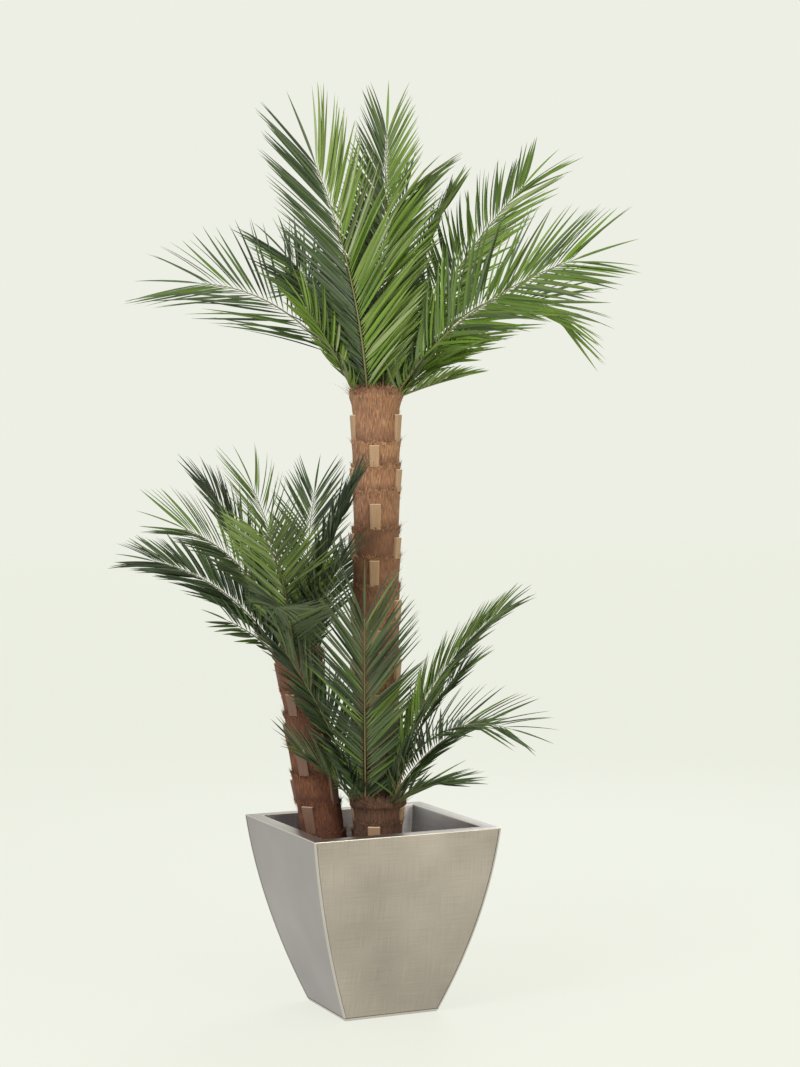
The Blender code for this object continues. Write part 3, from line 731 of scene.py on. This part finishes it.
for number, (name, stem) in enumerate(STEMS.items()):
    edges = np.array(MAT_EDGES[name])
    rings = np.repeat(np.arange(1, len(edges) - 1), 2)
    mat_height = edges[rings + 1] - edges[rings]
    random = np.random.default_rng(300 + number)
    heading = np.array(STUB_HEADINGS[name])[rings % 2, np.tile([0, 1], len(rings) // 2)]
    heading = np.radians(heading + random.uniform(-4, 4, len(rings)))
    # A slab's section is a rounded rectangle, worked out as a circle raised to a power. Its rows climb
    # from the foot, narrow and thin, to the sawn top, and the last two rows close it in.
    turn = np.arange(STUB_SIDES) * 2 * np.pi / STUB_SIDES
    circle = compass(turn)[0]
    section = np.sign(circle) * np.abs(circle) ** STUB_ROUND
    tall = np.minimum(STUB_HEIGHT * random.uniform(0.9, 1.25, len(rings)), mat_height * 0.9 + 0.004)
    tall[-2:] = np.minimum(COLLAR_STUB_HEIGHT, mat_height[-2:])
    wide = STUB_WIDTH * random.uniform(0.85, 1.1, len(rings))
    z = (edges[rings] - STUB_SUNK)[:, None, None] + tall[:, None, None] * STUB_ROWS[None, :, None]
    out, side = (way[:, None, None] for way in compass(heading))
    widen = STUB_WIDEN[None, :, None]
    lean = (STUB_LEAN[0] + STUB_LEAN[1] * STUB_ROWS[None, :, None]) * stem.radius + STUB_STAND_OFF
    across = section[None, None, :, 0] * (widen * wide[:, None, None] / 2)
    deep = lean + section[None, None, :, 1] * STUB_THICK / 2 * widen
    axis_x, axis_y = axis_at(stem, z)
    x = axis_x + deep * out[..., 0] + across * side[..., 0]
    y = axis_y + deep * out[..., 1] + across * side[..., 1]
    slabs = np.stack([x, y, np.broadcast_to(z, x.shape)], axis=3)
    cells = grid_faces(len(STUB_ROWS), STUB_SIDES)[1]
    sides, ends = closed_copies(len(rings), len(STUB_ROWS), STUB_SIDES)
    # The section runs clockwise when seen from above, so the faces are turned round.
    piece = make_piece(
        f"stem_{name}_stubs",
        slabs.reshape(-1, 3),
        [sides[:, ::-1], ends[:, ::-1]],
        [stalk_wood(f"dry stalk wood of the {name} stem", *STALK[name])],
        smooth=False,
    )
    column_run = cells[:, ::-1, 0] * (2 * STUB_WIDTH / STUB_SIDES)
    uv = np.stack([column_run, STUB_ROWS[cells[:, ::-1, 1]] * STUB_HEIGHT], axis=2)
    set_uv(piece, np.concatenate([np.tile(uv.reshape(-1, 2), (len(rings), 1)), np.zeros((ends.size, 2))]))
    set_values(piece, "sawn", np.tile(np.repeat(STUB_ROWS >= 1.0, STUB_SIDES), len(rings)))


# Loose threads: stiff single fibres that stick out of the mats, most of all from their ragged upper
# edges, and a fringe of longer ones round the feet of the fronds.
THREAD_THICK = 0.0008
THREAD_SIDES = 3
THREAD_TAPER = np.array([1.0, 0.85, 0.6, 0.15])
THREADS_ON_A_MAT = 330
THREAD_LENGTH = (0.003, 0.0036)
FRINGE_COUNT = 1500
FRINGE_LENGTH = (0.012, 0.045)


def unit(rows):
    """Each row of three numbers at length one."""
    return rows / np.linalg.norm(rows, axis=-1, keepdims=True)


def tubes(paths, widths, sides):
    """Closed tubes along many paths at once. Round each path point lie the given number of corners,
    on a circle across the path, at half the width there."""
    ahead = unit(np.gradient(paths, axis=1))
    helper = np.where(np.abs(ahead[:, :1, 2:]) > 0.8, [[[1.0, 0.0, 0.0]]], [[[0.0, 0.0, 1.0]]])
    first = unit(np.cross(ahead, helper))
    second = np.cross(ahead, first)
    turn = np.arange(sides) * 2 * np.pi / sides
    ring = np.cos(turn)[:, None] * first[:, :, None] + np.sin(turn)[:, None] * second[:, :, None]
    points = paths[:, :, None] + ring * widths[:, :, None, None] / 2
    return points.reshape(-1, 3), *closed_copies(*paths.shape[:2], sides)


for number, (name, stem) in enumerate(STEMS.items()):
    random = np.random.default_rng(500 + number)
    edges = np.array(MAT_EDGES[name])
    mats = len(edges) - 1
    loose = mats * THREADS_ON_A_MAT
    total = loose + FRINGE_COUNT
    # Most roots lie close under an edge, and those of the fringe on the top itself.
    mat = random.integers(1, mats + 1, total)
    part = 1 - random.exponential(0.10, total) % 1
    part[loose:] = 1
    mat[loose:] = mats
    angle = random.uniform(0, 2 * np.pi, total)
    z = edges[mat - 1] + (edges[mat] - edges[mat - 1]) * part
    radius = stem.radius * (RING_WAIST + (1 - RING_WAIST) * part**MAT_SWELL) + MAT_LIP * 0.4
    radius[loose:] = stem.radius * np.sqrt(random.uniform(0.1, 1.17, FRINGE_COUNT))
    out, side = compass(angle)
    root = np.stack(axis_at(stem, z) + [z], axis=1) + out * radius[:, None]
    length = random.gamma(2.2, THREAD_LENGTH[1], total) + THREAD_LENGTH[0]
    length[loose:] = random.uniform(*FRINGE_LENGTH, FRINGE_COUNT)
    aim = out * random.uniform(-0.1, 0.45, total)[:, None] + side * random.normal(0, 0.6, total)[:, None]
    aim[:, 2] += random.uniform(0.4, 1.0, total)
    aim = unit(aim)
    step = np.linspace(0, 1, len(THREAD_TAPER))[None, :, None]
    bow = side * random.normal(0, 0.25, total)[:, None] + out * random.normal(0.05, 0.15, total)[:, None]
    paths = root[:, None] + (aim[:, None] * step + bow[:, None] * step**2) * length[:, None, None]
    widths = THREAD_THICK * THREAD_TAPER[None] * random.uniform(0.7, 1.3, total)[:, None]
    points, sides, ends = tubes(paths, widths, THREAD_SIDES)
    tone = random.integers(0, 3, total)
    threads = [
        new_material(f"coir thread {shade} of the {name} stem", colour, 0.8)[0]
        for shade, colour in zip(("dark", "brown", "pale"), COIR[name])
    ]
    make_piece(
        f"stem_{name}_threads",
        points,
        [sides, ends],
        threads,
        tones=np.concatenate([np.repeat(tone, len(sides) // total), np.repeat(tone, 2)]),
    )


# Fronds: moulded leaf stalks that carry long folded leaflets of printed cloth in two rows. A frond's
# path, and the place, angle and length of its leaflets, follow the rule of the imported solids.
BARE_FOOT = 0.04
RIB_WIDTH_FOOT = 0.013
RIB_WIDTH_TIP = 0.0035
RIB_TAPER = 0.7
RIB_FINE_STEPS = 8
RIB_SIDES = 8
RIB_ROWS = 24
STALK_SLIM = {"tall": 0.58, "medium": 0.52, "short": 0.42}
TWIST_BUILD = 6
LEAFLET_PITCH = 0.020
# Angle to the rib and lift from its face, at the rib's foot and at its tip.
LEAFLET_ANGLE = (52, 22)
LEAFLET_ANGLE_BEND = 1.8
LEAFLET_LIFT = (24, 10)
LEAFLET_SAG = 0.06
END_LEAFLET = 0.7
FOOT_LACK = 0.45
FOOT_LACK_POWER = 5
TIP_LACK = 0.2
TIP_LACK_POWER = 3
ANGLE_STRAY = 2.5
LIFT_STRAY = 7
LENGTH_STRAY = 0.07


class Frond(NamedTuple):
    """One frond, in degrees and metres. The rib sets out at the heading and the rise, and its pitch
    falls by the droop as the part of its length already run, raised to the power of the bend. It
    turns by the sweep sideways, and its face rolls by the twist about the rib. It is seated on the
    stem's top at the seat's radius, in its own heading unless another is given. The tones are those
    of its left and right leaflets, from 0, deep green, to 4, pale. The rib has no leaflets up to the
    bare part of its length, then dense of them in each row for every pitch. They are folded towards
    the rib's tip by the fold, and slim is their width as a part of the crown's own."""

    heading: float
    rise: float
    droop: float
    length: float
    leaflet: float
    seat: float
    twist: float = 0
    bend: float = 1.2
    sweep: float = 0
    seat_heading: float = None
    tones: tuple = (1, 1)
    bare: float = 0.02
    dense: float = 2.4
    fold: float = 0
    slim: float = 1


FRONDS = {
    "tall": (
        Frond(199, 86, 24, 0.61, 0.275, 0.030, twist=36, bend=1.0, tones=(3, 1), fold=8),
        Frond(137, 61, 57, 0.56, 0.28, 0.050, twist=-50, bare=0.24, dense=1.3, slim=0.75),
        Frond(177, 65, 12, 0.26, 0.16, 0.056, twist=-50, tones=(3, 3)),
        Frond(42, 89, 5, 0.68, 0.20, 0.018, twist=30, seat_heading=337, tones=(1, 3), fold=8, dense=2),
        Frond(72, 84, 44, 0.60, 0.24, 0.022, twist=15, bend=2.2, sweep=-50, tones=(1, 2)),
        Frond(20, 74, 20, 0.58, 0.17, 0.034, twist=-25, seat_heading=38, tones=(1, 2), fold=20),
        Frond(5, 63, 20, 0.70, 0.22, 0.040, twist=30, tones=(2, 3), dense=2),
        Frond(309, 57, 43, 0.60, 0.26, 0.058, twist=70, bend=0.8, tones=(2, 2), dense=2),
        Frond(359, 54, 89, 0.57, 0.26, 0.056, twist=60, bend=2.2, tones=(2, 3), dense=1.8),
        Frond(119, 70, 30, 0.46, 0.22, 0.042, twist=-20),
        Frond(327, 20, 8, 0.16, 0.12, 0.058, tones=(3, 3)),
        Frond(87, 62, 62, 0.58, 0.24, 0.048, tones=(1, 2)),
        Frond(58, 48, 58, 0.52, 0.23, 0.056, tones=(1, 2)),
        Frond(337, 45, 17, 0.23, 0.13, 0.058, twist=45, seat_heading=343, tones=(3, 3)),
    ),
    "medium": (
        Frond(127, 71, 20, 0.47, 0.19, 0.030, twist=2, tones=(0, 0), dense=3, fold=14),
        Frond(177, 78, 57, 0.44, 0.19, 0.036, twist=-45, tones=(1, 2)),
        Frond(142, 57, 47, 0.43, 0.16, 0.046, twist=-42, tones=(0, 1), dense=3.2, fold=14, slim=1.1),
        Frond(178, 46, 22, 0.17, 0.11, 0.050, twist=-50, dense=1.6),
        Frond(112, 82, 26, 0.46, 0.20, 0.022, seat_heading=88, tones=(2, 2), dense=1.8, slim=0.75),
        Frond(233, 71, 45, 0.42, 0.21, 0.020, tones=(2, 3)),
        Frond(55, 79, 24, 0.45, 0.18, 0.030, dense=2.6, slim=0.85),
        Frond(289, 80, 30, 0.46, 0.17, 0.032, twist=45, tones=(0, 0), dense=3.2, fold=14, slim=1.2),
        Frond(295, 84, 50, 0.27, 0.15, 0.046, twist=30, bend=1.6, tones=(0, 1), dense=3),
        Frond(241, 52, 60, 0.36, 0.17, 0.046, twist=-20),
        Frond(77, 56, 60, 0.42, 0.18, 0.046),
        Frond(37, 66, 45, 0.38, 0.17, 0.046),
    ),
    "short": (
        Frond(250, 89, 16, 0.48, 0.23, 0.044, seat_heading=202, dense=3.2, slim=0.95),
        Frond(317, 77, 40, 0.58, 0.15, 0.030, twist=55, tones=(2, 1), dense=2.8, fold=28),
        Frond(312, 87, 103, 0.43, 0.17, 0.046, twist=34, bend=0.9, dense=1.4),
        Frond(287, 31, 24, 0.23, 0.17, 0.050, dense=1.8, fold=30),
        Frond(
            180, 70, 15, 0.44, 0.17, 0.044, twist=-50, seat_heading=148, tones=(0, 1), dense=3.6, slim=1.2
        ),
        Frond(189, 46, 8, 0.22, 0.15, 0.054, twist=-30, seat_heading=178),
        Frond(357, 72, 32, 0.40, 0.13, 0.030, tones=(0, 1)),
        Frond(23, 46, 40, 0.36, 0.15, 0.046, tones=(0, 1)),
    ),
}

# A leaflet is a keeled blade, pinched at its root and drawn out to a long point. The outline is its
# width at the stations along its length, as a part of its full width.
BLADE_WIDTH = {"tall": 0.0118, "medium": 0.0094, "short": 0.0088}
BLADE_THICK = 0.0007
BLADE_FOLD = 0.28
BLADE_BOW = 0.022
BLADE_STATIONS = np.array([0.0, 0.06, 0.18, 0.36, 0.55, 0.73, 0.88, 1.0])
BLADE_OUTLINE = np.array([0.20, 0.50, 0.92, 1.0, 0.86, 0.60, 0.30, 0.02])
BLADE_CORNERS = 4
BLADE_NARROWS = 0.3
END_NARROWS = 0.6
LEAFLET_UNEVEN = 0.06
BOX_CLEAR = 0.001
# Plain colours of the leaflets' faces and of their greyer undersides, dealt out by frond and row.
GREENS = ("#2f3b26", "#445633", "#566e2f", "#668430", "#849360")
GREEN_UNDER = ("#3d4835", "#505d40", "#627342", "#748a45", "#8d9c70")
TONE_STRAY = 0.5
LEAF_SHEEN = 0.25


def rib_frames(stem, frond, count):
    """Points along the rib with its forward, left and upward directions at each, count of them after
    the seat. The path is the sum of many short steps at the pitch and heading of the rule."""
    part = np.linspace(0, 1, count * RIB_FINE_STEPS + 1)
    pitch = np.radians(frond.rise - frond.droop * part**frond.bend)
    heading = np.radians(frond.heading + frond.sweep * part)
    level = np.cos(pitch)
    forward = np.stack([level * np.cos(heading), level * np.sin(heading), np.sin(pitch)], axis=1)
    steps = (forward[1:] + forward[:-1]) / 2 * frond.length / (count * RIB_FINE_STEPS)
    seat = math.radians(frond.heading if frond.seat_heading is None else frond.seat_heading)
    start = (stem.tip[0] + frond.seat * math.cos(seat), stem.tip[1] + frond.seat * math.sin(seat), stem.top)
    points = start + np.concatenate([np.zeros((1, 3)), np.cumsum(steps, axis=0)])
    left = compass(heading)[1]
    upward = np.cross(forward, left)
    roll = np.radians(frond.twist) * (1 - (1 - part) ** TWIST_BUILD)
    cosine, sine = np.cos(roll)[:, None], np.sin(roll)[:, None]
    turned_left = cosine * left + sine * upward
    turned_up = cosine * upward - sine * left
    return [rows[::RIB_FINE_STEPS] for rows in (part, points, forward, turned_left, turned_up)]


def leaflet_reaches(frond, seed, part, left, upward, forward):
    """The way and length of the leaflet at each step of the rib, for the left row and the right. The
    angle to the rib closes towards its tip, the leaflets stand up from its face in a shallow trough,
    and their length swells from the foot and falls off a little at the end."""
    random = np.random.default_rng(seed)
    grown = np.clip((part - BARE_FOOT) / (1 - BARE_FOOT), 0, 1)
    closing = grown**LEAFLET_ANGLE_BEND
    mean_angle = LEAFLET_ANGLE[0] + (LEAFLET_ANGLE[1] - LEAFLET_ANGLE[0]) * closing
    mean_angle = mean_angle * (1 - frond.fold / LEAFLET_ANGLE[0])
    mean_lift = LEAFLET_LIFT[0] + (LEAFLET_LIFT[1] - LEAFLET_LIFT[0]) * grown
    lack = FOOT_LACK * (1 - grown) ** FOOT_LACK_POWER + TIP_LACK * grown**TIP_LACK_POWER
    mean_length = frond.leaflet * (1 - lack)
    rows = []
    for side in (1, -1):
        stray = random.uniform(-1, 1, (3, len(part)))
        angle = np.radians(mean_angle + ANGLE_STRAY * stray[0])[:, None]
        lift = np.radians(mean_lift + LIFT_STRAY * stray[1])[:, None]
        length = (mean_length * (1 + LENGTH_STRAY * stray[2]))[:, None]
        across = np.cos(lift) * side * left + np.sin(lift) * upward
        reach = unit(np.cos(angle) * forward + np.sin(angle) * across)
        reach[:, 2] -= LEAFLET_SAG
        rows.append(reach * length)
    return rows


def sampled(rows, at):
    """Rows read at places between their whole steps, on the straight line from one to the next."""
    low = np.clip(np.floor(at).astype(int), 0, len(rows) - 2)
    part = (at - low)[:, None]
    return rows[low] * (1 - part) + rows[low + 1] * part


def kept_inside(roots, reaches):
    """Reaches made shorter where they would pass the box of the solids: by the least part of the way
    at which any of the six sides is met."""
    low, high = np.array(cad_box)
    room = np.where(reaches > 0, high - BOX_CLEAR - roots, low + BOX_CLEAR - roots)
    return reaches * np.clip((room / reaches).min(axis=1, keepdims=True), 0, 1)


def blades(roots, reaches, edge_way, widths):
    """Closed keeled blades. The midline runs from root to tip and bows by four t (1 - t) towards the
    face. Each station has four corners: an edge, the keel's top, the other edge and its underside,
    and both edges stand above the keel by the fold."""
    ahead = unit(reaches)
    edge = unit(edge_way - (edge_way * ahead).sum(axis=1, keepdims=True) * ahead)
    face = np.cross(ahead, edge)
    face = np.where(face[:, 2:] < 0, -face, face)
    edge = np.cross(face, ahead)
    t = BLADE_STATIONS[None, :, None]
    length = np.linalg.norm(reaches, axis=1)[:, None, None]
    middle = roots[:, None] + reaches[:, None] * t + face[:, None] * length * BLADE_BOW * 4 * t * (1 - t)
    half = widths[:, None, None] * BLADE_OUTLINE[None, :, None] / 2
    spread, stand = edge[:, None] * half, face[:, None] * half * 2 * BLADE_FOLD
    skin = face[:, None] * np.minimum(BLADE_THICK / 2, half * 0.4)
    corners = [middle + spread + stand, middle + skin, middle - spread + stand, middle - skin]
    return np.stack(corners, axis=2)


# Polyester cloth printed green on a moulded stalk: a satin face with a weak sheen, a duller back.
leaf_stalk = new_material("moulded leaf stalk", "#6b6b3e", 0.5)[0]
leaf_faces = [new_material(f"printed leaf cloth {i}", code, 0.42)[0] for i, code in enumerate(GREENS)]
leaf_backs = [
    new_material(f"leaf cloth underside {i}", code, 0.5)[0] for i, code in enumerate(GREEN_UNDER)
]
for leaf_cloth in leaf_faces + leaf_backs:
    leaf_cloth.node_tree.nodes["Principled BSDF"].inputs["Specular IOR Level"].default_value = LEAF_SHEEN
frond_number = 0
for crown, fronds in FRONDS.items():
    stem = STEMS[crown]
    all_corners, all_tones, rib_paths, rib_widths = [], [], [], []
    for frond in fronds:
        count = round(frond.length / LEAFLET_PITCH)
        part, points, forward, left, upward = rib_frames(stem, frond, count)
        reaches = leaflet_reaches(frond, frond_number, part, left, upward, forward)
        random = np.random.default_rng(1000 + frond_number)
        frond_number += 1
        width = RIB_WIDTH_FOOT + (RIB_WIDTH_TIP - RIB_WIDTH_FOOT) * part**RIB_TAPER
        for side, reach, row_tone in zip((1, -1), reaches, frond.tones):
            at = (np.arange(int(count * frond.dense)) + 0.5) / frond.dense
            at = at[at > frond.bare * count]
            at = at + random.uniform(-0.1, 0.1, len(at))
            middle, here_left, here_up, here_ahead, here_reach, here_width = (
                sampled(rows, at) for rows in (points, left, upward, forward, reach, width[:, None])
            )
            root = middle + side * here_left * here_width * 0.45
            length = np.linalg.norm(here_reach, axis=1, keepdims=True)
            stray = random.normal(0, 1, (2, len(at), 1)) * LEAFLET_UNEVEN * length
            here_reach = here_reach + stray[0] * here_up + stray[1] * here_ahead
            here_reach = here_reach * length / np.linalg.norm(here_reach, axis=1, keepdims=True)
            edge_way = here_ahead + random.normal(0.2, 0.35, (len(at), 1)) * here_up
            widths = BLADE_WIDTH[crown] * frond.slim * (1 - BLADE_NARROWS * at / count)
            widths = widths * random.uniform(0.7, 1.15, len(root))
            here_reach = kept_inside(root, here_reach)
            all_corners.append(blades(root, here_reach, edge_way, widths))
            tone = row_tone + random.normal(0, TONE_STRAY, len(root))
            all_tones.append(np.clip(np.round(tone), 0, len(GREENS) - 1).astype(int))
        # One more leaflet runs on from the rib's end.
        end_reach = (forward[-1] * frond.leaflet * END_LEAFLET)[None]
        end_width = np.array([BLADE_WIDTH[crown] * END_NARROWS])
        all_corners.append(blades(points[-1:], end_reach, left[-1:], end_width))
        all_tones.append(np.array([frond.tones[1]]))
        steps = np.arange(len(points))
        at = np.linspace(0, len(points) - 1, RIB_ROWS)
        rib_paths.append(np.stack([np.interp(at, steps, points[:, k]) for k in range(3)], axis=1))
        rib_widths.append(np.interp(at, steps, width) * STALK_SLIM[crown])
    corners = np.concatenate(all_corners)
    tone = np.concatenate(all_tones)
    stations = len(BLADE_STATIONS)
    blade_sides, blade_ends = closed_copies(len(corners), stations, BLADE_CORNERS)
    # Of each station's four faces the first two are the leaflet's face and the others its underside.
    back = np.tile(np.array([0, 0, 1, 1]) * len(GREENS), stations - 1)
    make_piece(
        f"leaflets_{crown}",
        corners.reshape(-1, 3),
        [blade_sides, blade_ends],
        leaf_faces + leaf_backs,
        [f"frond_{crown}_{i + 1:02d}" for i in range(len(fronds))],
        tones=np.concatenate([(tone[:, None] + back[None]).ravel(), np.repeat(tone, 2)]),
        smooth=False,
    )
    rib_points, rib_sides, rib_ends = tubes(np.stack(rib_paths), np.stack(rib_widths), RIB_SIDES)
    make_piece(f"stalks_{crown}", rib_points, [rib_sides, rib_ends], [leaf_stalk])
